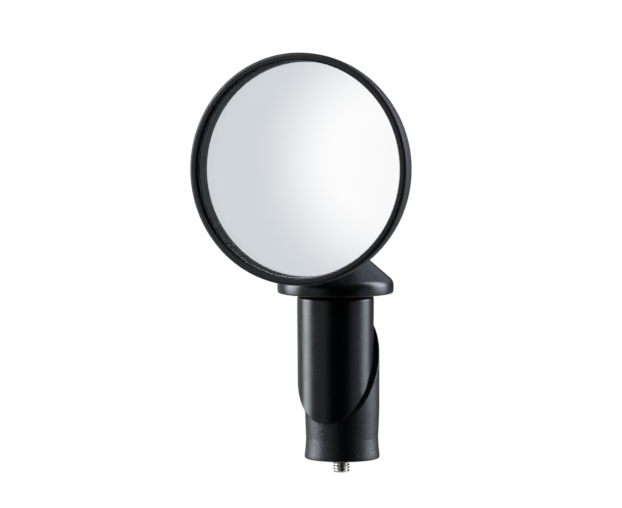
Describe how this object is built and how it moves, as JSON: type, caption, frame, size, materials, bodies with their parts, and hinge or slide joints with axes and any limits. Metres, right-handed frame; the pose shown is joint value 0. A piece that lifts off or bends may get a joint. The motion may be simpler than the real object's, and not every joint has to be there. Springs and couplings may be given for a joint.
{
  "type": "bike mirror",
  "caption": "Round convex mirror on a ball-jointed arm whose swivel cap turns on a wedge expander plug that clamps inside the open end of a handlebar.",
  "frame": {"origin": "on the plug's axis, in the plane of the flange's underside, which rests on the end of the handlebar", "axes": "+Z along the plug's axis, out of the handlebar; the mirror faces -Y; X is across the mirror"},
  "size_m": [0.0538, 0.0402, 0.1001],
  "materials": {
    "mirror": "second-surface mirror, polished",
    "foam": "closed-cell foam, matt",
    "textured_black": "fine spark-eroded texture",
    "satin_black": "smooth satin moulding",
    "textured_wedge": "coarse spark-eroded texture",
    "nylon": "natural nylon",
    "rubber": "matt rubber",
    "spring_steel": "phosphated",
    "steel": "bright zinc plate"
  },
  "bodies": {
    "plug": {"upper_wedge": "satin_black", "snap_ring": "spring_steel", "friction_washer": "nylon"},
    "cap": {"swivel_cap": "satin_black", "socket_plug": "satin_black"},
    "cover": {"key_hole_cover": "rubber"},
    "seat": {"seat_front": "nylon", "seat_rear": "nylon"},
    "ball": {"ball_stud": "steel", "stud_washer": "steel", "stud_nut": "steel"},
    "head": {"mirror_glass": "mirror", "foam_pad": "foam", "bezel_ring": "textured_black", "head_shell": "textured_black"},
    "washer": {"bolt_washer": "steel"},
    "bolt": {"expander_bolt": "steel"},
    "nut": {"hex_nut": "steel"},
    "wedge": {"lower_wedge": "textured_wedge"}
  },
  "joints": [
    {"name": "cap_swivel", "type": "hinge", "parent": "plug", "child": "cap", "pos_m": [0, 0, 0], "axis": [0, 0, 1], "continuous": true},
    {"name": "cover_pull", "type": "slide", "parent": "cap", "child": "cover", "axis": [0, 0, 1], "range_m": [0, 0.006]},
    {"name": "head_pan", "type": "hinge", "parent": "cap", "child": "seat", "pos_m": [0, -0.00782, 0.02972], "axis": [0, 0, 1], "range_deg": [-18, 18]},
    {"name": "head_tilt", "type": "hinge", "parent": "seat", "child": "ball", "pos_m": [0, -0.00782, 0.02972], "axis": [1, 0, 0], "range_deg": [-18, 6]},
    {"name": "head_spin", "type": "hinge", "parent": "ball", "child": "head", "pos_m": [0, -0.00782, 0.02972], "axis": [0, -0.9988, 0.0488], "continuous": true},
    {"name": "side_play", "type": "slide", "parent": "plug", "child": "washer", "axis": [0.9945, 0.1045, 0], "range_m": [-0.0029, 0]},
    {"name": "wedge_clamp", "type": "slide", "parent": "washer", "child": "wedge", "axis": [-0.0588, 0.559, 0.8271], "range_m": [-0.00164, 0.00469]},
    {"name": "bolt_turn", "type": "hinge", "parent": "washer", "child": "bolt", "pos_m": [0.00144, 0.00015, 0], "axis": [0, 0, -1], "range_deg": [-700, 2000]},
    {"name": "nut_rise", "type": "slide", "parent": "washer", "child": "nut", "axis": [0, 0, 1], "range_m": [-0.0014, 0.004]}
  ],
  "couplings": [
    {"joint": "bolt_turn", "follows": "wedge_clamp", "rad_per_m": 7423.9},
    {"joint": "nut_rise", "follows": "wedge_clamp", "ratio": 0.82708}
  ]
}
